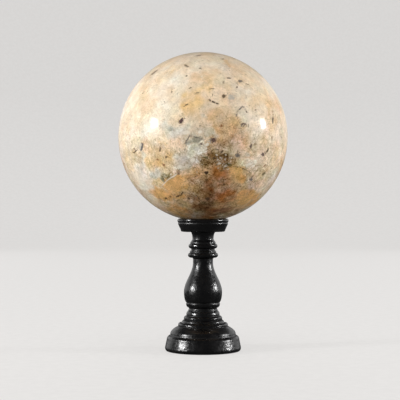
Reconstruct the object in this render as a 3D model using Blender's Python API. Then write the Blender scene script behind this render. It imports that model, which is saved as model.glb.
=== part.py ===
"""A polished stone ball resting in the cup of a one-piece turned stand.

Run it with "blender --background --python part.py" or from Blender's text editor.
Everything is in metres with +Z up. The origin is the centre of the stand's underside, and the stand and the
ball share one upright axis, +Z.
"""
import math

import bmesh
import bpy

MM = 0.001

# ---------------------------------------------------------------- driving dimensions, in millimetres
BALL_RADIUS = 50.0
BALL_SEGMENTS = 48            # faces around the ball's equator
BALL_RINGS = 24               # rows of faces from its lower pole to its upper pole

SEAT_RADIUS = 13.3            # of the circle where the cup's lip meets its hollow
SEAT_GAP = 0.3                # clearance between the cup's hollow and the ball
SEAT_STEPS = 3

FOOT_UNDERSIDE_RADIUS = 21.4
STAND_SEGMENTS = 32           # faces around the stand

# The stand is turned from one piece. Its outline runs from the underside up to the cup's lip as a list of
# cuts: what the cut is, the radius where it ends, how far it rises, and its number of steps.
#   line      a straight cut
#   swell     a quarter ellipse that leaves level and arrives upright, such as the lower half of a bead
#   shoulder  a quarter ellipse that leaves upright and arrives level, such as the upper half of a bead
#   dome      half a parabola that leaves upright and arrives sloping
#   sweep     an S-shaped half cosine that is upright at both ends
FOOT = (
    ("swell", 22.5, 1.9, 3),           # rolled lower edge
    ("line", 22.05, 2.2, 1),           # sloping band, very slightly round
    ("line", 21.5, 2.6, 1),
    ("shoulder", 19.7, 2.25, 4),
    ("line", 19.5, 0.2, 1),            # crease under the dome
    ("line", 19.35, 0.9, 1),           # the dome's upright edge
    ("dome", 16.1, 3.7, 5),
    ("line", 14.8, 0.75, 1),           # its sloping top
)
RINGS = (
    ("line", 14.6, 0.1, 1),            # broad ring
    ("line", 14.75, 0.5, 1),
    ("shoulder", 13.95, 1.3, 3),
    ("swell", 12.4, 0.85, 3),          # cove up to a narrow ring
    ("shoulder", 11.3, 0.9, 2),
    ("line", 10.9, 0.05, 1),
    ("swell", 11.35, 1.05, 2),         # round ring
    ("shoulder", 9.95, 1.35, 3),
    ("line", 9.7, 0.1, 1),
    ("line", 9.85, 0.55, 1),           # tall ring
    ("shoulder", 8.75, 2.25, 3),
    ("line", 8.6, 0.1, 1),
    ("line", 8.75, 0.25, 1),           # thin ring
    ("shoulder", 8.3, 0.7, 2),
    ("shoulder", 8.6, 1.0, 2),         # waist, the narrow groove under the vase
    ("swell", 10.0, 2.0, 3),           # bead under the vase
    ("shoulder", 9.75, 0.95, 1),
)
VASE = (
    ("line", 9.7, 0.1, 1),
    ("swell", 11.3, 5.9, 5),           # the vase's round underside
    ("sweep", 5.9, 17.8, 10),          # its body, drawn in to a slim neck
    ("line", 5.9, 1.9, 1),
)
LOWER_COLLAR = (
    ("shoulder", 7.3, 0.8, 2),         # flare under the bead
    ("swell", 8.9, 1.5, 3),            # bead
    ("shoulder", 7.85, 1.3, 3),
    ("line", 7.7, 0.1, 1),
    ("line", 7.8, 0.4, 1),             # fillet on top of it
    ("shoulder", 6.95, 1.0, 2),
)
UPPER_COLLAR = (
    ("shoulder", 7.1, 1.1, 2),
    ("swell", 8.55, 1.5, 3),
    ("shoulder", 7.55, 1.25, 3),
    ("line", 7.4, 0.1, 1),
    ("line", 7.5, 0.35, 1),
    ("shoulder", 6.95, 1.05, 2),
)
CUP = (
    ("sweep", 6.25, 1.4, 2),           # coved neck
    ("shoulder", 7.6, 4.2, 4),         # and out into the cup's underside
    ("line", 12.2, 0.1, 1),
    ("swell", 13.2, 0.9, 2),           # rounded lower edge of the cup
    ("line", 13.3, 0.4, 1),
    ("line", 14.3, 2.2, 1),            # its flared side
    ("line", 14.75, 1.0, 1),
    ("line", 14.75, 0.8, 1),
    ("line", 14.6, 0.15, 1),           # crease under the lip
    ("line", 14.85, 0.15, 1),
    ("swell", 15.15, 1.2, 2),          # lip
    ("shoulder", 14.2, 0.95, 3),
)
LIP_FALL = 0.2                # from the top of the lip down to the seat's edge

STONE_COLOUR = (0.62, 0.48, 0.31, 1.0)
LACQUER_COLOUR = (0.012, 0.012, 0.013, 1.0)


# ---------------------------------------------------------------- the stand's outline
def cut(kind, start, radius, rise, steps):
    """Return the points of one cut after its start, as (radius, height) pairs in millimetres."""
    points = []
    for step in range(1, steps + 1):
        share = step / steps
        turn = share * math.pi / 2
        if kind == "line":
            across, up = share, share
        elif kind == "swell":
            across, up = math.sin(turn), 1 - math.cos(turn)
        elif kind == "shoulder":
            across, up = 1 - math.cos(turn), math.sin(turn)
        elif kind == "dome":
            across, up = share ** 2, share
        else:
            across, up = (1 - math.cos(2 * turn)) / 2, share
        points.append((start[0] + (radius - start[0]) * across, start[1] + rise * up))
    return points


def outer_outline():
    """Return the stand's outer side from the centre of its underside up to the top of the cup's lip."""
    points = [(0.0, 0.0), (FOOT_UNDERSIDE_RADIUS, 0.0)]
    for kind, radius, rise, steps in FOOT + RINGS + VASE + LOWER_COLLAR + UPPER_COLLAR + CUP:
        points += cut(kind, points[-1], radius, rise, steps)
    return points


def ball_centre_height(lip_top):
    """Return the height of the ball's centre, so that the seat's edge keeps its gap to the ball."""
    seat_sphere = BALL_RADIUS + SEAT_GAP
    return lip_top - LIP_FALL + math.sqrt(seat_sphere ** 2 - SEAT_RADIUS ** 2)


def seat_outline(centre_height):
    """Return the cup's shallow hollow from its edge to its centre, a part of a sphere around the ball."""
    seat_sphere = BALL_RADIUS + SEAT_GAP
    edge_angle = math.asin(SEAT_RADIUS / seat_sphere)
    points = []
    for step in range(SEAT_STEPS + 1):
        angle = edge_angle * (1 - step / SEAT_STEPS)
        points.append((seat_sphere * math.sin(angle), centre_height - seat_sphere * math.cos(angle)))
    return points


# ---------------------------------------------------------------- objects
def remove_old_objects():
    """Empty the scene, so that the model can be built again."""
    for old in list(bpy.data.objects):
        bpy.data.objects.remove(old, do_unlink=True)


def plain_material(name, colour, roughness):
    """Return a Principled BSDF material of one colour."""
    material = bpy.data.materials.new(name)
    material.use_nodes = True
    shader = material.node_tree.nodes["Principled BSDF"]
    shader.inputs["Base Color"].default_value = colour
    shader.inputs["Roughness"].default_value = roughness
    shader.inputs["Metallic"].default_value = 0.0
    material.diffuse_color = colour
    return material


def add_object(name, mesh, material):
    """Link a mesh to the scene as one named object with one material."""
    mesh.materials.append(material)
    new_object = bpy.data.objects.new(name, mesh)
    bpy.context.collection.objects.link(new_object)
    return new_object


def build_stand(outline):
    """Turn the outline, given from the underside up, about +Z into the closed stand."""
    downwards = [(radius * MM, 0.0, height * MM) for radius, height in reversed(outline)]
    edges = [(index, index + 1) for index in range(len(downwards) - 1)]
    mesh = bpy.data.meshes.new("turned_stand")
    mesh.from_pydata(downwards, edges, [])
    stand = add_object("turned_stand", mesh, plain_material("black_lacquer", LACQUER_COLOUR, 0.25))
    lathe = stand.modifiers.new("Lathe", "SCREW")
    lathe.axis = "Z"
    lathe.angle = math.tau
    lathe.steps = STAND_SEGMENTS
    lathe.render_steps = STAND_SEGMENTS
    lathe.use_merge_vertices = True
    lathe.merge_threshold = 1e-6
    lathe.use_smooth_shade = True
    return stand


def build_ball(centre_height):
    """Add the solid stone ball where it rests in the cup."""
    mesh = bpy.data.meshes.new("stone_ball")
    ball_mesh = bmesh.new()
    bmesh.ops.create_uvsphere(
        ball_mesh, u_segments=BALL_SEGMENTS, v_segments=BALL_RINGS, radius=BALL_RADIUS * MM)
    ball_mesh.to_mesh(mesh)
    ball_mesh.free()
    mesh.shade_smooth()
    ball = add_object("stone_ball", mesh, plain_material("polished_stone", STONE_COLOUR, 0.15))
    ball.location = (0.0, 0.0, centre_height * MM)
    return ball


def main():
    """Build the stand and the ball that rests in it."""
    remove_old_objects()
    outline = outer_outline()
    centre_height = ball_centre_height(outline[-1][1])
    build_stand(outline + seat_outline(centre_height))
    build_ball(centre_height)


main()
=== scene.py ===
"""A polished stone ball in the cup of a turned, black-lacquered stand, with the stage it is shown on.

It is laid out as an add-on and is run as a script. Lengths are in metres with +Z up, and the stand and the
ball share one upright axis, +Z. The front faces -Y. A direction is given by two angles in degrees: its
azimuth, from the front round towards +X, and its height above the level.
"""

import math

import bpy
import numpy as np
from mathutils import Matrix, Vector


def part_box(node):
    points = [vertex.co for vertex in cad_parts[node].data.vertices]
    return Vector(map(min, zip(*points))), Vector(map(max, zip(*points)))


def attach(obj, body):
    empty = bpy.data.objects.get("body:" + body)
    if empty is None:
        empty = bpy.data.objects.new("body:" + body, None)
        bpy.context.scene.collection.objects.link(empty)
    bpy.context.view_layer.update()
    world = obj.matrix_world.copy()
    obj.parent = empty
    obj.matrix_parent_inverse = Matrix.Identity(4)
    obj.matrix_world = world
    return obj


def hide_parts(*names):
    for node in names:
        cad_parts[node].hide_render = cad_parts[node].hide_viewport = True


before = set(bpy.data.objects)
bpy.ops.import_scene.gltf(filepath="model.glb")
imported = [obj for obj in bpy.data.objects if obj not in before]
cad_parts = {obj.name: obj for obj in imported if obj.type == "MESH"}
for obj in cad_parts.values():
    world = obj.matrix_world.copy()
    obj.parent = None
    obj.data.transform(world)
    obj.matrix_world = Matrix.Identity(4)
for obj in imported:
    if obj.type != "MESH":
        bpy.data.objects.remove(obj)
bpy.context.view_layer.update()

bl_info = {
    "name": "Stone Ball on a Turned Stand",
    "version": (1, 0, 0),
    "blender": (4, 5, 0),
    "location": "View3D > Sidebar > Stone Ball",
    "description": "Builds a polished stone ball, its lacquered stand and a plain studio stage",
    "category": "Object",
}

MM = 0.001

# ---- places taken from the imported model
ball_low, ball_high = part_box("stone_ball")
stand_low, stand_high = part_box("turned_stand")
BALL_CENTRE = (ball_low.z + ball_high.z) / 2
BALL_RADIUS = (ball_high.z - ball_low.z) / 2
STAND_HEIGHT = stand_high.z - stand_low.z

# ---- the stand's outline, in millimetres
# It runs from the underside up to the cup's lip as a list of cuts: what the cut is, the radius where it ends
# and how far it rises. The function cut gives the shape of each kind.
UNDERSIDE_RADIUS = 21.4
FOOT = (
    ("swell", 22.5, 1.9),     # rolled lower edge
    ("line", 22.05, 2.2),     # sloping band, very slightly round
    ("line", 21.5, 2.6),
    ("shoulder", 19.7, 2.25),
    ("line", 19.5, 0.2),      # crease under the dome
    ("line", 19.35, 0.9),     # the dome's upright edge
    ("dome", 16.1, 3.7),
    ("line", 14.8, 0.75),     # its sloping top
)
RINGS = (
    ("line", 14.6, 0.1),      # broad ring
    ("line", 14.75, 0.5),
    ("shoulder", 13.95, 1.3),
    ("swell", 12.4, 0.85),    # cove up to a narrow ring
    ("shoulder", 11.3, 0.9),
    ("line", 10.9, 0.05),
    ("swell", 11.35, 1.05),   # round ring
    ("shoulder", 9.95, 1.35),
    ("line", 9.7, 0.1),
    ("line", 9.85, 0.55),     # tall ring
    ("shoulder", 8.75, 2.25),
    ("line", 8.6, 0.1),
    ("line", 8.75, 0.25),     # thin ring
    ("shoulder", 8.3, 0.7),
    ("shoulder", 8.6, 1.0),   # waist, the narrow groove under the vase
    ("swell", 10.0, 2.0),     # bead under the vase
    ("shoulder", 9.75, 0.95),
)
VASE = (
    ("line", 9.7, 0.1),
    ("swell", 11.3, 5.9),     # the vase's round underside
    ("sweep", 5.9, 17.8),     # its body, drawn in to a slim neck
    ("line", 5.9, 1.9),
)
LOWER_COLLAR = (
    ("shoulder", 7.3, 0.8),   # flare under the bead
    ("swell", 8.9, 1.5),      # bead
    ("shoulder", 7.85, 1.3),
    ("line", 7.7, 0.1),
    ("line", 7.8, 0.4),       # fillet on top of it
    ("shoulder", 6.95, 1.0),
)
UPPER_COLLAR = (
    ("shoulder", 7.1, 1.1),
    ("swell", 8.55, 1.5),
    ("shoulder", 7.55, 1.25),
    ("line", 7.4, 0.1),
    ("line", 7.5, 0.35),
    ("shoulder", 6.95, 1.05),
)
CUP = (
    ("sweep", 6.25, 1.4),     # coved neck
    ("shoulder", 7.6, 4.2),   # and out into the cup's underside
    ("line", 12.2, 0.1),
    ("swell", 13.2, 0.9),     # rounded lower edge of the cup
    ("line", 13.3, 0.4),
    ("line", 14.3, 2.2),      # its flared side
    ("line", 14.75, 1.0),
    ("line", 14.75, 0.8),
    ("line", 14.6, 0.15),     # crease under the lip
    ("line", 14.85, 0.15),
    ("swell", 15.15, 1.2),    # lip
    ("shoulder", 14.2, 0.95),
)
SEAT_RADIUS = 13.3            # of the circle where the cup's lip meets its hollow
LIP_FALL = 0.2                # from the top of the lip down to that circle
UNDERSIDE_STEPS = 8           # places along the outline under the foot
HOLLOW_STEPS = 10             # and in the cup's hollow
HEIGHT_TOLERANCE = 0.05       # between the cuts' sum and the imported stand
EDGE_BLUR = 9                 # places along the outline over which its bend is averaged
SHORTEST_STEP = 0.05          # the least length that a bend is divided by

# ---- the stone's markings
# The front of the ball is laid out as someone sees it who stands STANCE away and looks a little up at it. A
# cloud of colour is a soft oval there, given by how far its middle is right of and above the ball's middle,
# its half length and half width, all in millimetres, the turn of its length from level in degrees, and its
# strength. The clouds of each kind are listed from the top of the ball down. Four of the ivory clouds on the
# ball's left are partly painted light: a painted reflection, a painted highlight glow and painted rim light.
STANCE = 711.0                # in millimetres
CLOUDS = {
    "ivory": (
        # Four of these ivory clouds are partly painted light. The upright band at (-39, 17) is partly pale
        # stone and partly a painted reflection of a wide soft light at the left. The one at (-31, 6) is
        # partly pale stone and partly a painted glow round the left softbox's highlight. The two bands along
        # the lower left rim, at (-36, -25) and (-29, -38.5), are partly pale stone and partly painted rim
        # light.
        (2, 43, 8, 3.5, 0, 0.5), (-12, 35, 11, 5.5, 10, 0.65), (31, 32, 4.5, 3, -40, 0.4),
        (25, 26, 5.5, 4, 0, 0.45), (-25, 21, 7, 6, 0, 0.6), (-39, 17, 13, 3.5, 84, 0.6),
        (23, 12, 5, 4, 90, 0.35), (-31, 6, 6, 5, 0, 0.6), (-27.5, -11, 5, 3.5, 30, 0.3),
        (-36, -25, 13, 4.5, -57, 0.9), (-29, -38.5, 7, 2, -42, 0.6),
    ),
    "sand": (
        (42, 14, 12, 6, 80, 0.6), (12, 3, 10, 8, 30, 1), (14, -8, 14, 9, 0, 0.6),
        (5, -24, 24, 7, 0, 0.8), (24, -29, 11, 8, 40, 0.8), (-20, -32, 12, 6, -30, 0.25),
        (0, -38, 27, 13, 0, 0.9),
    ),
    "blush": (
        (13, 43.5, 3, 1.5, 0, 0.8), (20, 38, 9, 4, -30, 0.35), (0, 33, 9, 5, 0, 0.55),
        (-33, 31, 6, 3, 45, 0.4), (-4, 22, 10, 8, 80, 0.6), (-33, 22, 8, 2, 80, 0.35),
        (9, 13, 9, 6, 0, 0.85), (15.5, 8, 7, 4, 80, 0.9), (22.5, -1, 6, 4.5, 90, 0.9),
        (35, -3, 7, 4, 90, 0.5),
    ),
    "honey": (
        (-20, 39, 5, 2, 30, 0.5), (1, 30, 9, 6, 0, 0.45), (6, 27, 6, 4, 90, 0.3),
        (-6.5, 19.5, 9, 7.5, 80, 0.7), (-7.5, 14.5, 5, 3.5, 0, 0.55), (-25.5, -3, 3, 2.5, 0, 0.8),
        (-26, -7, 4, 3, 60, 0.6), (43, -9, 9, 3, 85, 0.45), (-25.5, -12, 10, 8.5, 0, 0.5),
        (-43, -14, 8, 3, 80, 0.4), (-8.5, -23, 4.5, 3, 90, 0.7), (34, -26, 5, 4, 0, 0.35),
        (-28, -27, 4, 3, 0, 0.5),
    ),
    "smoke": (
        (-4, 45.5, 4.5, 1.5, 10, 0.2), (10.5, 41.5, 2.5, 1.7, 0, 0.5), (0, 34, 2.8, 2, 0, 0.55),
        (1, 13, 2, 1.2, 0, 0.5), (-20, 5, 6.5, 4, -20, 0.8), (1, 3, 7, 3.5, 0, 0.7),
        (-10.5, 2, 6.5, 5, 0, 0.9), (22, -12, 4, 3, 0, 0.6), (-12, -14, 5, 5.5, 0, 0.9),
        (-37, -15, 8, 2, 88, 0.7), (-28, -22.5, 3.5, 2.8, 0, 0.75), (27.5, -26.5, 5.5, 3.6, 90, 0.5),
        (-8, -37.5, 6, 3.5, -10, 0.35), (-5, -45, 4, 1.5, 0, 0.6),
    ),
    "apricot": (
        (23, -4, 3, 2.5, 0, 0.5), (-22.5, -16, 5, 2.6, -20, 0.3), (19.5, -23, 6.2, 4.6, 90, 0.95),
        (-17, -28.2, 8, 5, 5, 1.2), (-21.5, -34.5, 10.5, 3.8, -12, 1.1),
        (25.2, -35.6, 6.5, 4.5, 25, 1.2), (12, -42, 9, 3, 10, 0.5), (-14, -43.2, 8, 2.5, -14, 0.85),
    ),
    "moss": (
        (14, -3.5, 8, 5, 0, 0.35), (5, -9.5, 6, 4, -20, 0.6), (10.5, -14, 9, 5, -20, 1.05),
        (2, -15, 6, 4, 0, 0.6), (-20.8, -23.4, 4, 2, 42, 1), (-6.5, -24.5, 7, 3, 80, 0.45),
        (-8, -36, 7, 4, -10, 0.35),
    ),
    "russet": (
        (8, -23.5, 7, 5.5, 0, 0.95), (4, -28.4, 5.5, 5, 0, 1.1), (12.8, -34.9, 5.5, 4, 0, 0.95),
        (7, -44, 9, 2.2, 8, 0.8),
    ),
    "umber": (
        (9.5, -13.5, 7, 4, -15, 0.75), (15, -27.5, 2, 1.5, 0, 0.55), (3, -28, 3.5, 3, 0, 0.6),
        (1.5, -38.5, 9, 7, 0, 1), (-5, -43, 7, 2.5, -5, 0.15), (14, -44, 9, 3, 10, 0.6),
    ),
    "slate": (
        (-19, 6, 2, 1.5, 0, 0.5), (-4.2, -1.3, 5.5, 2.4, -18, 0.4), (-8.8, -2.6, 3.2, 1.2, 50, 0.65),
        (-1.5, -3.4, 3, 1.6, -35, 0.6), (-22.5, -24, 3.4, 2, 40, 0.45),
    ),
    "pearl": (
        (-4.6, -7.8, 7, 4.4, 8, 1.2), (-14, -8.5, 4, 3, 0, 0.5), (-6, -14, 2.2, 2.2, 0, 0.85),
        (27.3, -16.3, 3.4, 1.9, 20, 1), (-13.5, -17.8, 2.2, 1.3, 0, 0.85),
    ),
}

# Small inclusions, laid out in the same way by their tone. The last number is how much one stands out.
INCLUSIONS = {
    "umber": (
        (-3, 48, 1.8, 0.3, 8, 0.6), (11.5, 46, 0.9, 0.3, 0, 0.7), (-10, 42, 1.3, 0.5, -20, 0.7),
        (-1.7, 40.5, 0.9, 0.4, -20, 0.8), (-29, 38, 2.8, 0.5, 38, 0.7), (-9.8, 36, 0.6, 0.4, 30, 0.7),
        (15.2, 34.8, 1.1, 0.4, 0, 0.85), (12, 32.2, 0.7, 0.6, 90, 0.6), (26.4, 31, 1.1, 0.35, -20, 0.6),
        (20, 29.4, 0.8, 0.5, 70, 0.85), (-7.7, 29, 0.8, 0.3, 25, 0.7), (5.3, 28.5, 2.1, 0.3, 2, 0.65),
        (-18.6, 26.8, 0.7, 0.5, 80, 0.7), (-3.3, 26.2, 0.8, 0.35, 0, 0.7),
        (5.5, 24.8, 0.7, 0.3, 90, 0.6), (12.2, 24, 1.1, 0.9, 90, 0.9), (4.2, 21.6, 1, 0.5, -30, 0.9),
        (-23, 20.8, 0.6, 0.35, 90, 0.5), (6, 20.7, 0.9, 0.5, -25, 1), (8, 19.8, 1, 0.45, -15, 0.95),
        (-9.7, 19.2, 0.8, 0.4, 20, 0.8), (-11.3, 18.2, 0.5, 0.35, 40, 0.7), (31, 16, 0.5, 0.4, 0, 0.6),
        (25.6, 15, 0.8, 0.35, -50, 0.8), (8, 12.3, 0.8, 0.35, -20, 0.5),
        (41.2, 10.2, 2.3, 0.45, 86, 0.95), (-41, -6.8, 0.6, 0.3, 30, 0.8),
        (-25.6, -7.4, 1.2, 0.5, 85, 0.8), (38.2, -8, 1.2, 0.45, 60, 0.9),
        (-40, -8.2, 0.9, 0.5, 45, 0.95), (5.3, -8.2, 0.7, 0.5, 30, 0.7), (20.4, -8.6, 1, 0.3, 90, 0.5),
        (11, -8.8, 1, 0.7, 60, 0.85), (-41.2, -9.2, 0.6, 0.3, -30, 0.9), (-1, -10.9, 1, 0.3, -20, 0.5),
        (-21.8, -11.9, 0.9, 0.7, 40, 0.8), (12.4, -12, 0.8, 0.5, 60, 0.8),
        (6.4, -12.4, 1.3, 0.8, 0, 0.95), (2.6, -14.5, 0.6, 0.4, 0, 0.7),
        (20.3, -17.8, 0.7, 0.3, -10, 0.65), (24, -18.9, 1.1, 0.35, -20, 0.8),
        (-14.4, -19.5, 0.7, 0.3, 0, 0.7), (27.4, -20.7, 0.9, 0.4, -40, 0.7), (1.9, -21.2, 1, 0.9, 0, 1),
        (29.2, -23.2, 0.6, 0.4, 30, 0.6), (1.9, -25.4, 0.6, 0.5, 0, 0.6), (12.2, -28, 0.6, 0.5, 0, 0.7),
        (-12.6, -33.6, 1.2, 0.4, 62, 0.9), (-15, -35, 1.4, 0.5, 35, 0.95),
        (-19.5, -35.4, 0.6, 0.5, 0, 0.7), (-22, -36.4, 0.8, 0.5, -20, 0.9),
        (-8.5, -36.4, 0.9, 0.6, 0, 0.8), (-2.5, -36.4, 0.9, 0.5, 90, 0.7), (2.5, -36.6, 1.3, 1, 0, 0.8),
    ),
    "plum": (
        (-13, 9.5, 1.6, 1, 62, 1), (23.4, 7.8, 1.2, 0.5, 10, 0.85), (24.8, 7.4, 1.1, 0.35, 50, 0.8),
        (26.8, 6.6, 0.9, 0.25, 85, 0.5), (46.2, 0, 1.5, 0.35, 95, 0.6), (6.1, -1.7, 1.7, 1.5, 30, 0.9),
        (-1.1, -4.1, 0.9, 0.7, 0, 0.8), (28.3, -5.4, 1.5, 0.6, 75, 0.9), (35.4, -10.3, 1, 0.9, 60, 0.9),
        (-14.6, -21.6, 0.7, 0.5, -30, 0.8),
    ),
    "slate": (
        (22, 33, 1.2, 0.8, 10, 0.8), (16.4, 23.4, 0.9, 0.7, 0, 0.6), (23.6, 17.8, 0.9, 0.35, -15, 0.8),
        (21.8, 16.6, 1, 0.35, 40, 0.9), (19.8, 13, 1.3, 0.35, 82, 0.7), (22.8, 6.4, 0.6, 0.4, -30, 0.7),
        (-3.8, -0.3, 3, 0.4, -12, 0.75), (-9.2, -1.2, 3.4, 0.4, 58, 0.75),
        (4.2, -1.4, 0.9, 0.7, 0, 0.6), (-36.4, -5.8, 2.4, 0.8, 82, 0.95),
        (-10.6, -6.5, 2.6, 0.2, 75, 0.45), (20.4, -10.9, 1.3, 1.1, 0, 0.85),
        (28.4, -25.2, 0.9, 0.8, 0, 0.8),
    ),
    "russet": (
        (41.3, 15, 0.9, 0.3, 90, 0.7), (10.8, 6.6, 0.9, 0.6, 70, 0.85),
        (40.8, -0.6, 1.2, 0.35, 85, 0.5), (-27, -13.4, 0.7, 0.6, 0, 0.8),
        (-23.5, -16.5, 1.1, 0.6, -30, 0.8), (36.5, -17, 1.1, 0.4, 42, 0.7), (7, -44, 1.7, 0.4, 8, 0.8),
    ),
    "moss": (
        (8.5, -7.5, 0.8, 0.4, -30, 0.7), (1.7, -12.1, 1.4, 0.8, 0, 0.85),
        (15.4, -16.4, 1.8, 0.8, -10, 0.8), (8, -16.5, 0.9, 0.4, 20, 0.8),
        (10.9, -19.9, 1.2, 0.4, 0, 0.7), (36, -21.7, 1.5, 0.7, 38, 0.8),
    ),
    "fog": (
        (16.5, 23.3, 1.8, 1.6, 0, 0.6), (-37.4, -5.8, 2.2, 0.8, 82, 0.5),
        (-4.2, -6.9, 2.4, 1.4, 10, 0.35),
    ),
    "chalk": (
        (-2, 3, 1.3, 1, 20, 0.8), (-10, 2.6, 1.8, 1.1, 10, 0.6), (2.2, -4.4, 1.3, 0.9, 30, 0.9),
        (10.2, -12.2, 0.6, 0.4, 20, 0.6), (13, -13.4, 0.6, 0.4, -30, 0.55),
        (-6.2, -13.6, 1.7, 1.2, 60, 0.7), (16.2, -14.4, 0.5, 0.4, 40, 0.5),
        (9.6, -15.6, 0.9, 0.6, 15, 0.75), (27.2, -16.2, 2, 0.9, 22, 0.8),
        (13.2, -17.2, 1.1, 0.5, 20, 0.65), (-13.8, -17.4, 1.4, 0.9, 0, 0.7),
        (-18.6, -23.8, 3.2, 0.4, 31, 0.7), (-22.6, -27, 3.2, 0.45, 44, 0.7),
    ),
}

# How each kind of cloud lies on the ground, from the first laid to the last: its kind, which of three mottles
# tears it, how much it is torn, what its weight is multiplied by on average, and the products at which it
# starts to show and is whole.
CLOUD_LAYERS = (
    ("ivory", 0, 0.8, 0.8, 0.0, 1.0),
    ("sand", 1, 0.5, 0.85, 0.0, 1.0),
    ("blush", 2, 0.8, 0.8, 0.0, 1.0),
    ("honey", 0, 0.7, 0.8, 0.05, 0.85),
    ("smoke", 1, 0.8, 0.85, 0.0, 0.95),
    ("apricot", 2, 0.6, 0.8, 0.0, 0.85),
    ("moss", 0, 0.9, 0.75, 0.0, 0.9),
    ("russet", 1, 0.6, 0.75, 0.0, 0.95),
    ("umber", 2, 0.7, 0.7, 0.0, 0.9),
    ("slate", 0, 0.6, 0.9, 0.15, 0.6),
    ("pearl", 1, 0.5, 0.9, 0.15, 0.6),
)

# What is strewn by seeded chance over the sides and the back: how many clouds of each kind, their usual half
# length in millimetres and strength, and how low and how high they lie, as shares of the ball's radius.
STREWN_CLOUDS = (
    ("ivory", 7, 18.0, 0.6, -0.3, 1.0),
    ("honey", 12, 8.0, 0.6, -0.5, 1.0),
    ("blush", 12, 9.0, 0.5, -0.4, 1.0),
    ("smoke", 11, 7.5, 0.65, -0.7, 0.7),
    ("slate", 6, 3.2, 0.7, -0.7, 0.3),
    ("pearl", 8, 3.0, 0.7, -0.7, 0.4),
    ("apricot", 20, 8.5, 0.9, -1.0, -0.15),
    ("russet", 12, 6.5, 0.85, -1.0, -0.35),
    ("moss", 8, 6.5, 0.7, -0.8, 0.0),
    ("umber", 11, 8.0, 0.65, -1.0, -0.4),
    ("sand", 15, 16.0, 0.85, -0.9, -0.1),
)
# Strewn inclusions: how many, how far forward one may face, from 0 for sideways to 1 for the front, the
# least half length in millimetres, what chance adds to it at most, and how much they stand out at most. The
# first lie on the sides and the back. The second are faint and, with a limit over 1, lie all over the ball.
STREWN_INCLUSIONS = (
    (260, 0.16, 0.55, 1.3, 0.95),
    (380, 2.0, 0.3, 0.5, 0.55),
)
CLOUD_FORWARD = 0.02          # how far forward a strewn cloud may face
CLOUD_SEED = 11
INCLUSION_SEED = 23
SWELLS = ((13.0, 1.6, 5), (4.5, 1.7, 6))  # the clouds' wandering: length, push in millimetres, seed
CLOUD_EDGE = 1.5              # where a cloud's soft edge ends, as a share of its half size
RIM_FADE = 12.0               # depth over which it fades out at the rim of its side, in millimetres
FAR = 1000.0                  # added to the place of points behind a mark's flat
INCLUSION_REACH = 2.4         # how far round an inclusion its own frame is kept, in millimetres
INCLUSION_FADE = 0.9          # the outer part of that, where its nearness falls to 0
UNMARKED = 9.0                # the place in a frame of points that are near no inclusion
TINY = 1e-6                   # keeps a division from meeting 0
SINES = 6                     # added up in a swell
CELL_SIZE = 2.6 * MM          # of the cells between the stone's seams
FLECK_SIZE = 1.5 * MM         # of the cells that may hold a fleck

# How often each tone of inclusion is strewn, and how much each kind of cloud coarsens the grain, calms it,
# and carries white flecks.
TONE_SHARES = {
    "umber": 0.42, "plum": 0.12, "slate": 0.13, "russet": 0.15, "moss": 0.08, "fog": 0.05, "chalk": 0.05}
COARSE_KINDS = {"smoke": 0.1, "moss": 0.7, "umber": 0.6, "russet": 0.2, "sand": 0.2}
CALM_KINDS = {"ivory": 0.8, "honey": 0.4, "apricot": 0.4, "smoke": 0.45}
FLECKED_KINDS = {"moss": 1.2, "smoke": 0.55}


# ---- settings
def swatch(red, green, blue):
    """Return the linear colour of a painter's swatch whose parts run from 0 to 255."""
    parts = np.array((red, green, blue)) / 255
    linear = np.where(parts <= 0.04045, parts / 12.92, ((parts + 0.055) / 1.055) ** 2.4)
    return tuple(float(part) for part in linear)


def colour_setting(name, description, red, green, blue):
    """Return a colour property whose default is a painter's swatch."""
    return bpy.props.FloatVectorProperty(
        name=name, description=description, subtype="COLOR", default=swatch(red, green, blue))


# ---- shader maths
class Wire:
    """An output socket. Arithmetic on it adds Math nodes to its node tree."""

    def __init__(self, tree, socket):
        self.tree = tree
        self.socket = socket

    def calculate(self, operation, *values):
        """Add a Math node that works on values, which are numbers or wires, and return its wire."""
        node = self.tree.nodes.new("ShaderNodeMath")
        node.operation = operation
        for index, value in enumerate(values):
            connect(self.tree, node.inputs[index], value)
        return Wire(self.tree, node.outputs[0])

    def __add__(self, other):
        return self.calculate("ADD", self, other)

    __radd__ = __add__

    def __sub__(self, other):
        return self.calculate("SUBTRACT", self, other)

    def __rsub__(self, other):
        return self.calculate("SUBTRACT", other, self)

    def __mul__(self, other):
        return self.calculate("MULTIPLY", self, other)

    __rmul__ = __mul__

    def __pow__(self, other):
        return self.calculate("POWER", self, other)

    def __gt__(self, other):
        return self.calculate("GREATER_THAN", self, other)


def connect(tree, socket, value):
    """Link a wire to a socket, or set the socket to a number, colour or vector."""
    if isinstance(value, Wire):
        tree.links.new(value.socket, socket)
    elif socket.type == "RGBA":
        socket.default_value = (*value[:3], 1.0)
    else:
        socket.default_value = value


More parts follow.
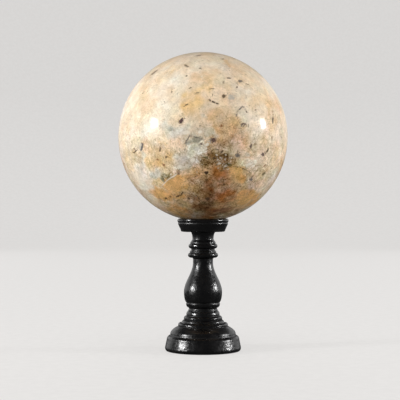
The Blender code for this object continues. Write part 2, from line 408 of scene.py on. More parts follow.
class Finish:
    """A procedural material on its way: a Principled shader and the nodes that feed it."""

    def __init__(self, name):
        old = bpy.data.materials.get(name)
        if old is not None:
            old.name = name + "_old"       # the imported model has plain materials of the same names
        self.material = bpy.data.materials.new(name)
        self.material.use_nodes = True
        self.tree = self.material.node_tree
        self.tree.nodes.clear()
        self.shader = self.tree.nodes.new("ShaderNodeBsdfPrincipled")
        output = self.tree.nodes.new("ShaderNodeOutputMaterial")
        self.tree.links.new(self.shader.outputs["BSDF"], output.inputs["Surface"])

    def node(self, kind, settings=None, values=None, output=0):
        """Add a node: its settings first, then its sockets' values or wires. Return one output's wire."""
        node = self.tree.nodes.new(kind)
        for name, value in (settings or {}).items():
            setattr(node, name, value)
        for name, value in (values or {}).items():
            connect(self.tree, node.inputs[name], value)
        return Wire(self.tree, node.outputs[output])

    def set(self, **values):
        """Set or link the shader's sockets, named with underscores for their spaces."""
        for name, value in values.items():
            connect(self.tree, self.shader.inputs[name.replace("_", " ")], value)

    def place(self):
        """Return the point of the surface."""
        return self.node("ShaderNodeTexCoord", output="Object")

    def vector(self, operation, first, second):
        """Return what a Vector Math node makes of two vectors."""
        return self.node("ShaderNodeVectorMath", {"operation": operation}, {0: first, 1: second})

    def noise(self, point, size, detail=2.0, roughness=0.5, output="Fac", shift=None):
        """Return smooth noise whose blotches are about size metres across.

        A shift of the point keeps two patterns from falling together.
        """
        if shift is not None:
            point = self.vector("ADD", point, shift)
        return self.node(
            "ShaderNodeTexNoise", {},
            {"Vector": point, "Scale": 1 / size, "Detail": detail, "Roughness": roughness}, output)

    def wander(self, point, size, amount, seed):
        """Return point wandering by up to about amount metres over lengths of size metres."""
        swirl = self.noise(point, size, output="Color", shift=(seed, -seed, 2 * seed))
        centred = self.vector("SUBTRACT", swirl, (0.5, 0.5, 0.5))
        return self.vector("ADD", point, self.vector("MULTIPLY", centred, (2 * amount,) * 3))

    def grains(self, point, size, feature="F1", output="Distance"):
        """Return a Voronoi pattern whose grains are about size metres across."""
        return self.node(
            "ShaderNodeTexVoronoi", {"feature": feature}, {"Vector": point, "Scale": 1 / size}, output)

    def parts(self, value, kind="ShaderNodeSeparateColor"):
        """Return the three parts of a colour or, with the kind of node for it, of a vector."""
        first = self.node(kind, {}, {0: value})
        return [Wire(self.tree, output) for output in first.socket.node.outputs]

    def measure(self, name, output="Fac"):
        """Return a value that is kept on the mesh."""
        return self.node("ShaderNodeAttribute", {"attribute_name": name}, {}, output)

    def step(self, value, low, high):
        """Return a smooth step from 0 where value is low to 1 where it is high."""
        return self.node(
            "ShaderNodeMapRange", {"interpolation_type": "SMOOTHSTEP"},
            {"Value": value, "From Min": low, "From Max": high})

    def mix(self, share, first, second, blend="MIX"):
        """Return two colours mixed, with share of the second."""
        return self.node(
            "ShaderNodeMix", {"data_type": "RGBA", "blend_type": blend}, {0: share, 6: first, 7: second}, 2)

    def tinted(self, colour, red, green, blue):
        """Return a colour with its three parts multiplied."""
        factor = self.node("ShaderNodeCombineColor", {}, {"Red": red, "Green": green, "Blue": blue})
        return self.mix(1.0, colour, factor, "MULTIPLY")

    def bump(self, height, strength, distance):
        """Return the normal of a surface that stands up by height times distance."""
        return self.node("ShaderNodeBump", {}, {"Strength": strength, "Distance": distance, "Height": height})


# ---- meshes
def turned_points(radii, heights, columns):
    """Return the points of a surface turned about +Z.

    In words: the point at share s round the axis and place i along the profile is
    (radius i times cos 2 pi s, radius i times sin 2 pi s, height i). The profile's first and last places lie
    on the axis, and each is kept as one point, the first before and the last after all the rings.
    """
    turn = np.arange(columns) * math.tau / columns
    rings = np.empty((len(radii) - 2, columns, 3))
    rings[..., 0] = radii[1:-1, None] * np.cos(turn)
    rings[..., 1] = radii[1:-1, None] * np.sin(turn)
    rings[..., 2] = heights[1:-1, None]
    first = (0.0, 0.0, heights[0])
    last = (0.0, 0.0, heights[-1])
    return np.vstack((first, rings.reshape(-1, 3), last))


def turned_faces(rings, columns):
    """Return the corners of a turned surface's faces, outward.

    These are three arrays: the quads between its rings, the triangles round its first point and those round
    its last.
    """
    here = np.arange(columns)
    beside = (here + 1) % columns
    starts = 1 + columns * np.arange(rings - 1)[:, None]
    after = starts + columns
    quads = np.stack((starts + here, starts + beside, after + beside, after + here), -1).reshape(-1, 4)
    last_ring = 1 + columns * (rings - 1)
    first_fan = np.stack((np.zeros(columns, int), 1 + beside, 1 + here), -1)
    last_fan = np.stack((np.full(columns, last_ring + columns), last_ring + here, last_ring + beside), -1)
    return quads, first_fan, last_fan


def new_mesh(name, points, *faces):
    """Return a smooth-shaded mesh of these points and of faces given as arrays of quads or triangles.

    A mesh of this name from an earlier run goes, and its object with it.
    """
    old = bpy.data.meshes.get(name)
    if old is not None:
        bpy.data.meshes.remove(old)
    mesh = bpy.data.meshes.new(name)
    corners = np.concatenate([group.ravel() for group in faces])
    sizes = np.concatenate([np.full(len(group), group.shape[1]) for group in faces])
    mesh.vertices.add(len(points))
    mesh.vertices.foreach_set("co", points.astype(np.float32).ravel())
    mesh.loops.add(len(corners))
    mesh.loops.foreach_set("vertex_index", corners.astype(np.int32))
    mesh.polygons.add(len(sizes))
    mesh.polygons.foreach_set("loop_start", (np.cumsum(sizes) - sizes).astype(np.int32))
    mesh.update(calc_edges=True)
    mesh.validate()
    mesh.shade_smooth()
    return mesh


def keep_on_mesh(mesh, name, values):
    """Store one value for each point of the mesh: a number, a vector or a colour."""
    kinds = {1: ("FLOAT", "value"), 3: ("FLOAT_VECTOR", "vector"), 4: ("FLOAT_COLOR", "color")}
    kind, field = kinds[1 if values.ndim == 1 else values.shape[1]]
    attribute = mesh.attributes.new(name, kind, "POINT")
    attribute.data.foreach_set(field, np.ascontiguousarray(values, np.float32).ravel())


def show(name, data):
    """Put a mesh, light or camera in the scene as an object, and return the object."""
    shown = bpy.data.objects.new(name, data)
    bpy.context.scene.collection.objects.link(shown)
    return shown


def show_piece(name, mesh, material, node):
    """Put a finished mesh in the scene as the piece that stands for one CAD node."""
    mesh.materials.append(material)
    piece = show(name, mesh)
    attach(piece, "root")
    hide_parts(node)


# ---- the ball
def direction(azimuth, height):
    """Return the unit vector towards an azimuth a and a height h, in degrees.

    In words: it is (sin a times cos h, minus cos a times cos h, sin h).
    """
    azimuth, height = np.radians(azimuth), np.radians(height)
    return np.stack(
        (np.sin(azimuth) * np.cos(height), -np.cos(azimuth) * np.cos(height), np.sin(height)), -1)


def ball_points(radius, rings, columns):
    """Return the points of the ball round its own middle.

    In words: at angle a above the level, from -90 to 90 degrees, a ring's radius is the ball's radius times
    cos a, and its height is the ball's radius times sin a.
    """
    above = np.radians(np.linspace(-90, 90, rings + 2))
    return turned_points(np.cos(above) * radius, np.sin(above) * radius, columns)


def wandering(points, length, amount, seed):
    """Return points, each pushed by a slow swell.

    In words: each part of the push is amount times 1.6 times the mean of some sines of the place. Their
    directions and starts are seeded, and their waves are about twice length long.
    """
    random = np.random.default_rng(seed)
    push = np.zeros_like(points)
    for _ in range(SINES):
        waves = random.normal(size=(3, 3)) / length * 2.2
        starts = random.uniform(0, math.tau, 3)
        push += np.sin(points @ waves + starts)
    return points + push * amount / SINES * 1.6


def facing(azimuth, height):
    """Return the right, up and outward directions of the flat that touches the ball at this place."""
    outward = direction(azimuth, height)
    right = direction(azimuth + 90, 0)
    return np.stack((right, np.cross(outward, right), outward))


FRONT = facing(0, -3)


def oval_places(points, flat, right, up, half_length, half_width, turn):
    """Return each point's place in an oval mark, as shares of its half sizes, and its depth on the ball.

    In words: the mark is drawn on a flat through the ball's centre and carried on to the ball towards an eye
    that is STANCE before it. A point's place is its distance right of and above the mark's middle, turned by
    the mark's own turn, and divided by its half sizes. Its depth is how far it lies before the flat. Points
    behind the flat are put far away.
    """
    across, above, depth = (points @ flat.T).T
    nearness = STANCE / (STANCE - depth)
    across, above = across * nearness - right, above * nearness - up
    angle = math.radians(turn)
    along = across * math.cos(angle) + above * math.sin(angle)
    aside = above * math.cos(angle) - across * math.sin(angle)
    away = np.where(depth > 0, 0.0, FAR)
    return along / half_length + away, aside / half_width + away, depth


def strew(random, count, forward, low=-1.0, high=1.0):
    """Return count flats at seeded places on the ball, none of them facing the front by more than forward.

    Their heights lie between low and high, as shares of the ball's radius.
    """
    flats = []
    while len(flats) < count:
        azimuth = random.uniform(-180, 180)
        flat = facing(azimuth, math.degrees(math.asin(random.uniform(low, high))))
        if flat[2] @ FRONT[2] < forward:
            flats.append(flat)
    return flats


def cloud_weights(points):
    """Return the weight of each kind of cloud at each point, from 0 to 1.

    In words: a cloud's weight is its strength times a smooth step across its oval edge, and where clouds of
    one kind overlap the heavier one counts. It fades out towards the rim of its own flat's side of the ball.
    """
    random = np.random.default_rng(CLOUD_SEED)
    marks = [(kind, FRONT, *oval) for kind, ovals in CLOUDS.items() for oval in ovals]
    for kind, count, size, strength, low, high in STREWN_CLOUDS:
        for flat in strew(random, count, CLOUD_FORWARD, low, high):
            length = size * random.uniform(0.6, 1.5)
            width = length * random.uniform(0.4, 0.9)
            turn = random.uniform(-90, 90)
            marks.append((kind, flat, 0, 0, length, width, turn, strength * random.uniform(0.6, 1.1)))
    bent = points
    for length, push, seed in SWELLS:
        bent = wandering(bent, length, push, seed)
    weights = {kind: np.zeros(len(points)) for kind, *_ in CLOUD_LAYERS}
    for kind, flat, right, up, length, width, turn, strength in marks:
        along, aside, depth = oval_places(bent, flat, right, up, length, width, turn)
        share = np.clip(CLOUD_EDGE - np.hypot(along, aside), 0, 1) * np.clip(depth / RIM_FADE, 0, 1)
        weights[kind] = np.maximum(weights[kind], strength * share * share * (3 - 2 * share))
    return weights


def grain_strength(points, weights):
    """Return how strong the stone's grain is at each point, from 0 to 1.

    In words: with z a point's height above the ball's middle and y how far back it lies, in millimetres, the
    ground gives 0.3 - z / 90, kept within 0.12 and 0.5, times 0.75 - y / 80, kept within 0.55 and 1. The
    heaviest coarse cloud adds its weight times its kind's share. The sum is multiplied by 1 less the heaviest
    calm cloud's weight times its kind's share.
    """
    lower = np.clip(0.3 - points[:, 2] / 90, 0.12, 0.5) * np.clip(0.75 - points[:, 1] / 80, 0.55, 1)
    coarse = np.maximum.reduce([weights[kind] * share for kind, share in COARSE_KINDS.items()])
    calm = np.maximum.reduce([weights[kind] * share for kind, share in CALM_KINDS.items()])
    return np.clip((lower + coarse) * (1 - calm), 0, 1)


def inclusion_fields(points, tones):
    """Return the fields that draw the inclusions: their own frames, and their tints.

    In words: each point is given to the inclusion whose edge is nearest, and keeps its place in that
    inclusion's own frame, a third number that is 1 near the inclusion and 0 elsewhere, and its tint and how
    much it stands out.
    """
    random = np.random.default_rng(INCLUSION_SEED)
    marks = [(tone, FRONT, *oval) for tone, ovals in INCLUSIONS.items() for oval in ovals]
    names, shares = zip(*TONE_SHARES.items())
    for count, forward, least, added, depth in STREWN_INCLUSIONS:
        for flat in strew(random, count, forward):
            length = least + added * random.uniform() ** 2.5
            tone = names[int(random.choice(len(shares), p=shares))]
            width = length * random.uniform(0.4, 0.95)
            turn = random.uniform(-90, 90)
            marks.append((tone, flat, 0, 0, length, width, turn, random.uniform(0.35, 1) * depth))
    frames = np.full((len(points), 3), UNMARKED)
    frames[:, 2] = 0.0
    tints = np.zeros((len(points), 4))
    nearest = np.full(len(points), np.inf)
    for tone, flat, right, up, length, width, turn, depth in marks:
        along, aside, _ = oval_places(points, flat, right, up, length, width, turn)
        reach = np.hypot(along, aside)
        outside = (reach - 1) * np.hypot(along * length, aside * width) / np.maximum(reach, TINY)
        closer = (outside < nearest) & (outside < INCLUSION_REACH)
        nearest[closer] = outside[closer]
        frames[closer, 0] = along[closer]
        frames[closer, 1] = aside[closer]
        frames[closer, 2] = np.clip((INCLUSION_REACH - outside[closer]) / INCLUSION_FADE, 0, 1)
        tints[closer, :3] = tones[tone]
        tints[closer, 3] = depth
    return frames, tints


def polished_stone(settings):
    """Return the stone's material: a curdled cream ground, clouds of other colours, and small inclusions."""
    stone = Finish("polished_stone")
    point = stone.place()
    slow = stone.wander(point, 9 * MM, 1.6 * MM, 0.31)
    bent = stone.wander(slow, 2.6 * MM, 0.8 * MM, 0.77)
    broad = stone.noise(point, 17 * MM, shift=(0.3, 0.1, 0.7))
    curds = stone.parts(stone.noise(slow, 6.5 * MM, 1, 0.4, output="Color"))
    lumps = stone.parts(stone.noise(bent, 4.5 * MM, 0, output="Color", shift=(0.7, 0.2, 0.9)))
    pebble = stone.noise(bent, 3.0 * MM, 3, 0.55, shift=(0.2, 0.9, 0.4))
    fine = stone.noise(point, 0.9 * MM, 2, 0.6, shift=(0.5, 0.2, 0.1))
    mottle = stone.noise(bent, 5.5 * MM, 0, shift=(0.6, 0.3, 0.8))
    amber = stone.noise(slow, 6.0 * MM, 0, shift=(0.1, 0.8, 0.5))
    veins = stone.noise(slow, 4.2 * MM, 3, 0.5, shift=(0.9, 0.4, 0.6))
    cell_value = stone.parts(stone.grains(bent, CELL_SIZE, output="Color"))[0]
    cell_edge = stone.grains(bent, CELL_SIZE, "DISTANCE_TO_EDGE")
    grain = stone.measure("grain")

    # The ground: cream, paler or warmer in broad soft areas and from curd to curd.
    colour = stone.mix(stone.step(broad, 0.34, 0.66), settings.ground_colour, settings.warm_colour)
    colour = stone.mix(0.28 * stone.step(curds[0], 0.4, 0.7), colour, settings.ivory_colour)
    colour = stone.mix(0.12 * stone.step(mottle, 0.45, 0.75), colour, settings.blush_colour)
    colour = stone.mix(0.16 * stone.step(amber, 0.45, 0.75), colour, settings.honey_colour)

    # Clouds. Curds and lumps of stone tear each one's edge and thin it inside. Four ivory clouds on the
    # ball's left are partly painted reflection, painted highlight glow and painted rim light.
    mottles = [(curd - 0.5) * 2.4 + (lump - 0.5) * 1.2 for curd, lump in zip(curds, lumps)]
    for kind, chosen, tear, middle, low, high in CLOUD_LAYERS:
        torn = stone.measure("cloud_" + kind) * (mottles[chosen] * tear + middle)
        colour = stone.mix(stone.step(torn, low, high), colour, getattr(settings, kind + "_colour"))

    # The colour drifts between cool and warm, and a little between pink and green.
    for size, seed, swing in ((8.0 * MM, 0.15, 0.7), (4.0 * MM, 0.55, 0.35)):
        drift = stone.parts(stone.noise(bent, size, 0, output="Color", shift=(seed, 0.65, 0.35)))
        warm = (drift[0] - 0.5) * swing * (0.15 + 0.7 * grain)
        pink = (drift[1] - 0.5) * swing * (0.05 + 0.3 * grain)
        colour = stone.tinted(colour, 1 + warm * 0.2 + pink, 1 - warm * 0.15 - pink * 0.6, 1 - warm)

    # Curdled grain: lighter and darker pebbly spots, with thin dull seams between some of them.
    shade = 1 + (cell_value - 0.5) * 0.3 * grain + (curds[1] - 0.5) * (0.15 + 0.9 * grain)
    shade = shade + (pebble - 0.5) * (0.25 + 1.4 * grain) + (fine - 0.5) * (0.25 + 1.45 * grain)
    shade = shade - (1 - stone.step(cell_edge, 0.0, 0.14)) * stone.step(veins, 0.42, 0.58) * 0.3 * grain
    seam = 1 - stone.step((veins - 0.5) ** 2.0, 0.0, 0.0006)
    thread = 1 - stone.step((pebble - 0.5) ** 2.0, 0.0, 0.0004)
    shade = shade - seam * (0.07 + 0.36 * grain) - thread * (0.07 + 0.3 * grain)
    colour = stone.tinted(colour, shade, shade ** (1.08 + 0.2 * grain), shade ** (1.2 + 0.7 * grain))

    # White flecks where the stone is grey or mossy, dark ones where it is broken, and a few dull smudges.
    fleck = stone.grains(bent, FLECK_SIZE)
    chance = stone.parts(stone.grains(bent, FLECK_SIZE, output="Color"))[2]
    pale_fleck = (1 - stone.step(fleck, 0.2, 0.45)) * stone.step(chance, 0.6, 0.7) * stone.measure("flecks")
    colour = stone.mix(pale_fleck * 0.75, colour, settings.fleck_colour)
    dark_fleck = (1 - stone.step(fleck, 0.12, 0.4)) * (1 - stone.step(chance, 0.1, 0.15))
    colour = stone.mix(dark_fleck * (0.15 + 0.5 * grain), colour, settings.umber_inclusion)
    smudge = (1 - stone.step(stone.grains(bent, CELL_SIZE), 0.1, 0.5)) * stone.step(cell_value, 0.8, 0.9)
    colour = stone.mix(smudge * 0.22, colour, settings.stain_colour)

    # The inclusions, each an oval in its own frame with a ragged edge and a faint stained rim.
    along, aside, nearness = stone.parts(stone.measure("inclusion_frame", "Vector"), "ShaderNodeSeparateXYZ")
    near = nearness > 0.5
    depth = stone.measure("inclusion_tint", "Alpha")
    reach = (along * along + aside * aside) ** 0.5
    tattered = reach + (fine - 0.5) * 1.8 + (curds[0] - 0.5) * 0.8
    inside = (1 - stone.step(tattered, 0.6, 1.35)) * near
    rim = (1 - stone.step(tattered, 0.9, 2.4)) * near
    colour = stone.mix(rim * depth * 0.25, colour, settings.stain_colour)
    colour = stone.mix(inside * depth, colour, stone.measure("inclusion_tint", "Color"))

    pits = stone.step(fine, 0.66, 0.8) * grain
    relief = stone.bump(curds[0] * 0.5 + fine * 0.3 - inside * 0.8 - pits * 0.6, 0.12, 0.04 * MM)
    stone.set(
        Base_Color=colour,
        Roughness=settings.roughness + 0.1 * stone.step(fine, 0.4, 0.75) + inside * 0.1,
        Normal=relief, IOR=1.5, Specular_IOR_Level=0.18,
        Coat_Weight=0.26, Coat_Roughness=0.11, Coat_IOR=1.5)
    return stone.material


class StoneBallSettings(bpy.types.PropertyGroup):
    """Sizes and colours of the stone ball."""

    radius: bpy.props.FloatProperty(
        name="Radius", description="Radius of the ball", default=BALL_RADIUS, unit="LENGTH")
    columns: bpy.props.IntProperty(
        name="Columns", description="Faces around the ball's waist", default=440, min=48, max=440)
    rings: bpy.props.IntProperty(
        name="Rings", description="Rows of points between the ball's poles", default=218, min=23, max=218)
    roughness: bpy.props.FloatProperty(
        name="Roughness", description="Gloss of the stone under its polish, from 0 to 1 for matt",
        default=0.3, min=0, max=1, subtype="FACTOR")
    ground_colour: colour_setting("Ground", "Main cream of the stone", 229, 212, 188)
    warm_colour: colour_setting("Warm Ground", "Warmer parts of the ground", 228, 205, 174)
    # Ivory is the pale ground, and through four clouds on the ball's left it is also painted reflection,
    # painted highlight glow and painted rim light.
    ivory_colour: colour_setting("Ivory", "Palest parts of the ground", 237, 226, 206)
    honey_colour: colour_setting("Honey", "Yellow clouds", 230, 196, 140)
    blush_colour: colour_setting("Blush", "Pinkish clouds", 219, 185, 144)
    smoke_colour: colour_setting("Smoke", "Pale grey clouds", 208, 200, 182)
    slate_colour: colour_setting("Slate", "Dark grey lenses", 160, 157, 141)
    pearl_colour: colour_setting("Pearl", "Pale lenses", 236, 227, 206)
    apricot_colour: colour_setting("Apricot", "Orange clouds", 226, 176, 114)
    russet_colour: colour_setting("Russet", "Rust-brown clouds", 186, 118, 60)
    moss_colour: colour_setting("Moss", "Olive-brown clouds", 156, 128, 86)
    umber_colour: colour_setting("Umber", "Dull brown clouds", 146, 106, 70)
    sand_colour: colour_setting("Sand", "Tan ground low on the ball", 212, 174, 128)
    fleck_colour: colour_setting("Flecks", "White flecks", 236, 228, 210)
    stain_colour: colour_setting("Stain", "Stained rim of an inclusion", 176, 132, 84)
    umber_inclusion: colour_setting("Umber Inclusions", "Dark brown inclusions", 76, 58, 42)
    plum_inclusion: colour_setting("Plum Inclusions", "Purplish inclusions", 82, 62, 62)
    slate_inclusion: colour_setting("Slate Inclusions", "Blue-grey inclusions", 92, 90, 90)
    russet_inclusion: colour_setting("Russet Inclusions", "Red-brown inclusions", 130, 78, 42)
    moss_inclusion: colour_setting("Moss Inclusions", "Olive inclusions", 84, 78, 48)
    fog_inclusion: colour_setting("Fog Inclusions", "Pale grey inclusions", 170, 168, 162)
    chalk_inclusion: colour_setting("Chalk Inclusions", "White inclusions", 238, 230, 214)


class STONEBALL_OT_ball(bpy.types.Operator):
    """Make the polished stone ball where it rests in the cup"""

    bl_idname = "stoneball.ball"
    bl_label = "Stone Ball"

    def execute(self, context):
        settings = context.scene.stone_ball
        points = ball_points(settings.radius, settings.rings, settings.columns)
        faces = turned_faces(settings.rings, settings.columns)
        mesh = new_mesh("polished_ball", points + (0.0, 0.0, BALL_CENTRE), *faces)
        on_ball = points / MM
        weights = cloud_weights(on_ball)
        for kind, weight in weights.items():
            keep_on_mesh(mesh, "cloud_" + kind, weight)
        keep_on_mesh(mesh, "grain", grain_strength(on_ball, weights))
        flecks = sum(weights[kind] * share for kind, share in FLECKED_KINDS.items())
        keep_on_mesh(mesh, "flecks", np.clip(flecks, 0, 1))
        tones = {tone: getattr(settings, tone + "_inclusion")[:] for tone in TONE_SHARES}
        frames, tints = inclusion_fields(on_ball, tones)
        keep_on_mesh(mesh, "inclusion_frame", frames)
        keep_on_mesh(mesh, "inclusion_tint", tints)
        show_piece("polished_ball", mesh, polished_stone(settings), "stone_ball")
        return {"FINISHED"}


# ---- the stand
def cut(kind, start, radius, rise, steps):
    """Return the points of one cut after its start, as radii and heights in millimetres.

    In words, with s the share of the cut that is done and t that share of a quarter turn:
      line      across by s and up by s
      swell     across by sin t and up by 1 - cos t, such as the lower half of a bead
      shoulder  across by 1 - cos t and up by sin t, such as its upper half
      dome      across by s squared and up by s
      sweep     across by (1 - cos 2t) / 2 and up by s, an S that is upright at both ends
    """
    share = np.arange(1, steps + 1) / steps
    turn = share * math.pi / 2
    across, up = {
        "line": (share, share),
        "swell": (np.sin(turn), 1 - np.cos(turn)),
        "shoulder": (1 - np.cos(turn), np.sin(turn)),
        "dome": (share ** 2, share),
        "sweep": ((1 - np.cos(2 * turn)) / 2, share),
    }[kind]
    return np.stack((start[0] + (radius - start[0]) * across, start[1] + rise * up), -1)


def stand_outline(spacing):
    """Return the stand's whole outline in millimetres, from the underside's centre to the hollow's.

    In words: the flat underside, the cuts one after another, and a hollow that is an arc round the ball's
    centre: at angle a from straight down, its radius is the arc's times sin a, and it lies the arc's radius
    times cos a under the ball's centre.
    """
    underside = np.linspace(0, UNDERSIDE_RADIUS, UNDERSIDE_STEPS)
    points = [np.stack((underside, np.zeros(UNDERSIDE_STEPS)), -1)]
    for kind, radius, rise in FOOT + RINGS + VASE + LOWER_COLLAR + UPPER_COLLAR + CUP:
        start = points[-1][-1]
        steps = max(2, round(math.hypot(radius - start[0], rise) / spacing))
        points.append(cut(kind, start, radius, rise, steps))
    lip = points[-1][-1]
    arc = math.hypot(SEAT_RADIUS, BALL_CENTRE / MM - lip[1] + LIP_FALL)
    angles = np.linspace(math.asin(SEAT_RADIUS / arc), 0, HOLLOW_STEPS)
    points.append(np.stack((arc * np.sin(angles), BALL_CENTRE / MM - arc * np.cos(angles)), -1))
    return np.vstack(points)


def outline_bend(outline):
    """Return how sharply an outline bends at each place, above 0 at an edge and below 0 in a groove.

    In words: its bend is how much its heading turns for each millimetre along it, in radians, averaged with
    a bell-shaped weight over EDGE_BLUR places.
    """
    along = np.gradient(outline, axis=0)
    heading = np.unwrap(np.arctan2(along[:, 1], along[:, 0]))
    length = np.maximum(np.hypot(along[:, 0], along[:, 1]), SHORTEST_STEP)
    bell = np.hanning(EDGE_BLUR)
    return np.convolve(np.gradient(heading) / length, bell / bell.sum(), "same")


def black_lacquer(settings):
    """Return the stand's material: satin black lacquer, brushed on by hand and a little uneven."""
    lacquer = Finish("black_lacquer")
    point = lacquer.place()
    swell = lacquer.noise(point, 4.0 * MM)
    peel = lacquer.noise(point, 1.3 * MM, shift=(0.4, 0.2, 0.9))
    dust = lacquer.noise(point, 0.5 * MM, 3, 0.6, shift=(0.1, 0.8, 0.3))
    cloudy = lacquer.step(lacquer.noise(point, 7.0 * MM, 3, 0.6, shift=(0.7, 0.5, 0.2)), 0.35, 0.7)
    peeled = lacquer.step(peel, 0.4, 0.7)
    rubbed = lacquer.measure("rubbed")
    hollow = lacquer.measure("hollow")
    speck = lacquer.step(dust, 0.66, 0.78)
    colour = lacquer.mix(cloudy * 0.6, settings.lacquer_colour, settings.worn_colour)
    colour = lacquer.mix(rubbed * peeled * 0.5, colour, settings.rubbed_colour)
    colour = lacquer.mix(speck * (0.1 + hollow * 0.4), colour, settings.dust_colour)
    relief = lacquer.bump(swell * 0.9 + peel * 0.5 + dust * 0.04, 0.8, 0.3 * MM)
    patchy = (0.1 * cloudy + 0.08 * peeled) * (1 - rubbed) - 0.1 * rubbed
    lacquer.set(
        Base_Color=colour, Roughness=settings.roughness + patchy + 0.15 * hollow, Normal=relief,
        Specular_IOR_Level=0.8, IOR=1.5)
    return lacquer.material


class TurnedStandSettings(bpy.types.PropertyGroup):
    """Sizes and colours of the turned stand."""

    columns: bpy.props.IntProperty(
        name="Columns", description="Faces around the stand", default=256, min=32, max=288)
    spacing: bpy.props.FloatProperty(
        name="Spacing", description="Length of the outline between two rings of points", default=0.35 * MM,
        unit="LENGTH", min=0.3 * MM, max=2 * MM)
    roughness: bpy.props.FloatProperty(
        name="Roughness", description="Gloss of the lacquer, from 0 for a mirror to 1 for matt",
        default=0.235, min=0, max=1, subtype="FACTOR")
    lacquer_colour: colour_setting("Lacquer", "The black lacquer", 6, 6, 7)
    worn_colour: colour_setting("Thin Lacquer", "The lacquer where it is thin", 13, 12, 12)
    rubbed_colour: colour_setting("Rubbed Edges", "Edges rubbed by handling", 26, 25, 24)
    dust_colour: colour_setting("Dust", "Fine dust in the lacquer", 86, 84, 82)


class STONEBALL_OT_stand(bpy.types.Operator):
    """Make the turned stand with its black lacquer"""

    bl_idname = "stoneball.stand"
    bl_label = "Turned Stand"

    def execute(self, context):
        settings = context.scene.turned_stand
        outline = stand_outline(settings.spacing / MM)
        if abs(outline[:, 1].max() - STAND_HEIGHT / MM) > HEIGHT_TOLERANCE:
            raise ValueError("the stand's cuts don't add up to the height of the packed stand")
        points = turned_points(outline[:, 0] * MM, outline[:, 1] * MM, settings.columns)
        mesh = new_mesh("lacquered_stand", points, *turned_faces(len(outline) - 2, settings.columns))
        bend = outline_bend(outline)
        wear = {"rubbed": np.clip(bend * 0.9 - 0.25, 0, 1), "hollow": np.clip(-bend * 0.9 - 0.2, 0, 1)}
        for name, values in wear.items():
            spread = np.repeat(values[1:-1], settings.columns)
            keep_on_mesh(mesh, name, np.concatenate((values[:1], spread, values[-1:])))
        show_piece("lacquered_stand", mesh, black_lacquer(settings), "turned_stand")
        return {"FINISHED"}


# ---- the stage
# The lights. Each has its name, its azimuth and height in degrees, its distance from the ball's middle, its
# width and height in metres, the setting that gives its radiance, its share of that, and whether it is
# mirrored in the object.
LIGHTS = (
    ("left_softbox", -69.0, 13.5, 1.6, 0.3, 0.29, "core_radiance", 1.0, True),
    ("right_softbox", 88.0, 12.5, 1.6, 0.235, 0.27, "core_radiance", 1.0, True),
    ("left_panel", -137.0, 10.0, 1.3, 1.6, 0.8, "panel_radiance", 0.5, True),
    ("right_panel", 137.0, 10.0, 1.3, 1.6, 0.8, "panel_radiance", 0.45, True),
    ("left_wash", -60.0, 1.0, 1.0, 1.3, 0.22, "wash_radiance", 1.12, False),
    ("right_wash", 60.0, 1.0, 1.0, 1.3, 0.22, "wash_radiance", 1.15, False),
    ("top_wash", 0.0, 72.0, 1.6, 1.4, 1.4, "top_radiance", 1.0, False),
    ("back_wash", 180.0, 38.0, 1.8, 1.4, 1.4, "top_radiance", 1.0, False),
)
CAMERA_PLACE = (-0.00178, -0.711, 0.0891)
FLOOR_RINGS = (0.0, 0.2, 0.6)  # radii of the flat floor's middle and inner rings, in metres
FLOOR_COLUMNS = 96
CURVE_STEPS = 14              # rings in the curve from the floor to the wall


def plain_paper(name, colour):
    """Return the matt material of the studio's floor."""
    paper = Finish(name)
    tooth = paper.noise(paper.place(), 6 * MM, 3, 0.6)
    darker = [part * 0.97 for part in colour]
    shown = paper.mix(paper.step(tooth, 0.3, 0.7), darker, colour)
    paper.set(
        Base_Color=shown, Roughness=0.9, Specular_IOR_Level=0.2, Emission_Color=shown, Emission_Strength=3.9)
    return paper.material


def sweep_mesh(settings):
    """Return the mesh of the paper: a flat round floor that turns up in a curve into a low wall.

    In words: at angle a of the curve, from 0 to a quarter turn, the radius is the floor's reach plus the
    curve's radius times sin a, and the height is the curve's radius times 1 - cos a. The wall rises straight
    from there. The faces look up and inward. The wall stays open, so the profile's last place is dropped.
    """
    curve = np.linspace(0, math.pi / 2, CURVE_STEPS)
    reach, bend = settings.floor_reach, settings.sweep_radius
    radii = np.concatenate((FLOOR_RINGS, reach + bend * np.sin(curve), (reach + bend, 0.0)))
    heights = np.concatenate((
        np.zeros(len(FLOOR_RINGS)), bend * (1 - np.cos(curve)), (bend + settings.wall_height, 0.0)))
    points = turned_points(radii, heights, FLOOR_COLUMNS)
    quads, middle, _ = turned_faces(len(radii) - 2, FLOOR_COLUMNS)
    return new_mesh("studio_sweep", points[:-1], quads[:, ::-1], middle[:, ::-1])


def add_sweep(settings):
    """Put the paper in the scene. The object takes no light from it and mirrors a dark room instead."""
    mesh = sweep_mesh(settings)
    mesh.materials.append(plain_paper("studio_paper", settings.floor_colour))
    sweep = show("studio_sweep", mesh)
    sweep.visible_glossy = False
    sweep.visible_diffuse = False


def add_softbox(name, place, target, width, tall, radiance, mirrored):
    """Add an oval light that faces target.

    In words: its power is its radiance times pi times its area, which is pi / 4 times its width and height.
    """
    light = bpy.data.lights.new(name, "AREA")
    light.shape = "ELLIPSE"
    light.size = width
    light.size_y = tall
    light.energy = radiance * math.pi * math.pi / 4 * width * tall
    lamp = show(name, light)
    lamp.location = place
    lamp.rotation_mode = "QUATERNION"
    lamp.rotation_quaternion = (target - lamp.location).to_track_quat("-Z", "Y")
    lamp.visible_camera = False
    lamp.visible_glossy = mirrored


def add_room(strength):
    """Give the scene an even white light from all sides."""
    world = bpy.data.worlds.new("studio_room")
    world.use_nodes = True
    background = world.node_tree.nodes["Background"]
    background.inputs["Color"].default_value = (1.0, 1.0, 1.0, 1.0)
    background.inputs["Strength"].default_value = strength
    bpy.context.scene.world = world


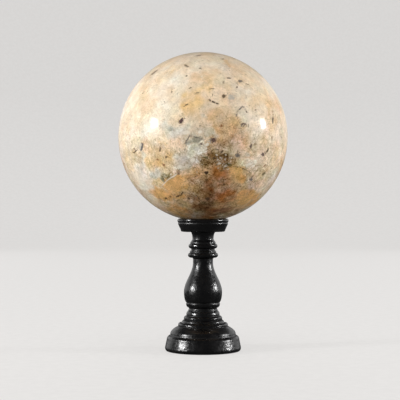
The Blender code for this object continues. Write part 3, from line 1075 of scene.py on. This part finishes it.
def add_camera(focal_length):
    """Add the camera, which looks level along +Y."""
    lens = bpy.data.cameras.new("studio_camera")
    lens.sensor_width = 36.0
    lens.lens = focal_length
    camera = show("studio_camera", lens)
    camera.location = CAMERA_PLACE
    camera.rotation_euler = (math.pi / 2, 0.0, 0.0)
    bpy.context.scene.camera = camera


class StageSettings(bpy.types.PropertyGroup):
    """Floor, lights and camera."""

    floor_colour: colour_setting("Floor", "The pale floor and its sweep", 112, 111, 110)
    floor_reach: bpy.props.FloatProperty(
        name="Floor Reach", description="Radius of the flat floor", default=1.5, unit="LENGTH")
    sweep_radius: bpy.props.FloatProperty(
        name="Sweep Radius", description="Radius of the curve from floor to wall", default=0.8, unit="LENGTH")
    wall_height: bpy.props.FloatProperty(
        name="Wall Height", description="Height of the wall above the curve", default=0.1, unit="LENGTH")
    core_radiance: bpy.props.FloatProperty(
        name="Softboxes", description="Radiance of the two small softboxes", default=86.0, min=0)
    panel_radiance: bpy.props.FloatProperty(
        name="Rim Panels", description="Radiance of the panels behind the object's sides", default=1.6, min=0)
    wash_radiance: bpy.props.FloatProperty(
        name="Side Washes", description="Radiance of the wide lights low at the sides", default=7.1, min=0)
    top_radiance: bpy.props.FloatProperty(
        name="Top and Back Washes", description="Radiance of the large lights above and behind",
        default=1.8, min=0)
    room_light: bpy.props.FloatProperty(
        name="Room Light", description="Strength of the even light of the room", default=0.05, min=0)
    lens: bpy.props.FloatProperty(
        name="Lens", description="Focal length on a 36 mm wide sensor, in millimetres", default=108.0, min=20)


class STONEBALL_OT_stage(bpy.types.Operator):
    """Make the pale floor with its sweep, the studio lights and the camera"""

    bl_idname = "stoneball.stage"
    bl_label = "Studio Stage"

    def execute(self, context):
        settings = context.scene.stone_stage
        add_sweep(settings)
        aim = Vector((0.0, 0.0, BALL_CENTRE))
        for name, azimuth, height, distance, width, tall, setting, share, mirrored in LIGHTS:
            place = aim + Vector(direction(azimuth, height)) * distance
            add_softbox(name, place, aim, width, tall, getattr(settings, setting) * share, mirrored)
        add_room(settings.room_light)
        add_camera(settings.lens)
        context.scene.view_settings.view_transform = "Standard"
        return {"FINISHED"}


class STONEBALL_PT_panel(bpy.types.Panel):
    """The sidebar panel with the pieces and their sizes and colours"""

    bl_label = "Stone Ball"
    bl_idname = "STONEBALL_PT_panel"
    bl_space_type = "VIEW_3D"
    bl_region_type = "UI"
    bl_category = "Stone Ball"

    def draw(self, context):
        for operator, group in PIECES:
            box = self.layout.box()
            box.operator(operator)
            settings = getattr(context.scene, group)
            for name in settings.bl_rna.properties.keys():
                if name not in ("rna_type", "name"):
                    box.prop(settings, name)


PIECES = (
    ("stoneball.stand", "turned_stand"),
    ("stoneball.ball", "stone_ball"),
    ("stoneball.stage", "stone_stage"),
)
GROUPS = {
    "stone_ball": StoneBallSettings,
    "turned_stand": TurnedStandSettings,
    "stone_stage": StageSettings,
}
CLASSES = (*GROUPS.values(), STONEBALL_OT_ball, STONEBALL_OT_stand, STONEBALL_OT_stage, STONEBALL_PT_panel)


def register():
    """Register the classes and give the scene its settings."""
    for entry in CLASSES:
        bpy.utils.register_class(entry)
    for name, group in GROUPS.items():
        setattr(bpy.types.Scene, name, bpy.props.PointerProperty(type=group))


def unregister():
    """Undo register."""
    for name in GROUPS:
        delattr(bpy.types.Scene, name)
    for entry in reversed(CLASSES):
        bpy.utils.unregister_class(entry)


def main():
    """Build every piece and the stage."""
    register()
    bpy.ops.stoneball.stand()
    bpy.ops.stoneball.ball()
    bpy.ops.stoneball.stage()


if __name__ == "__main__":
    main()
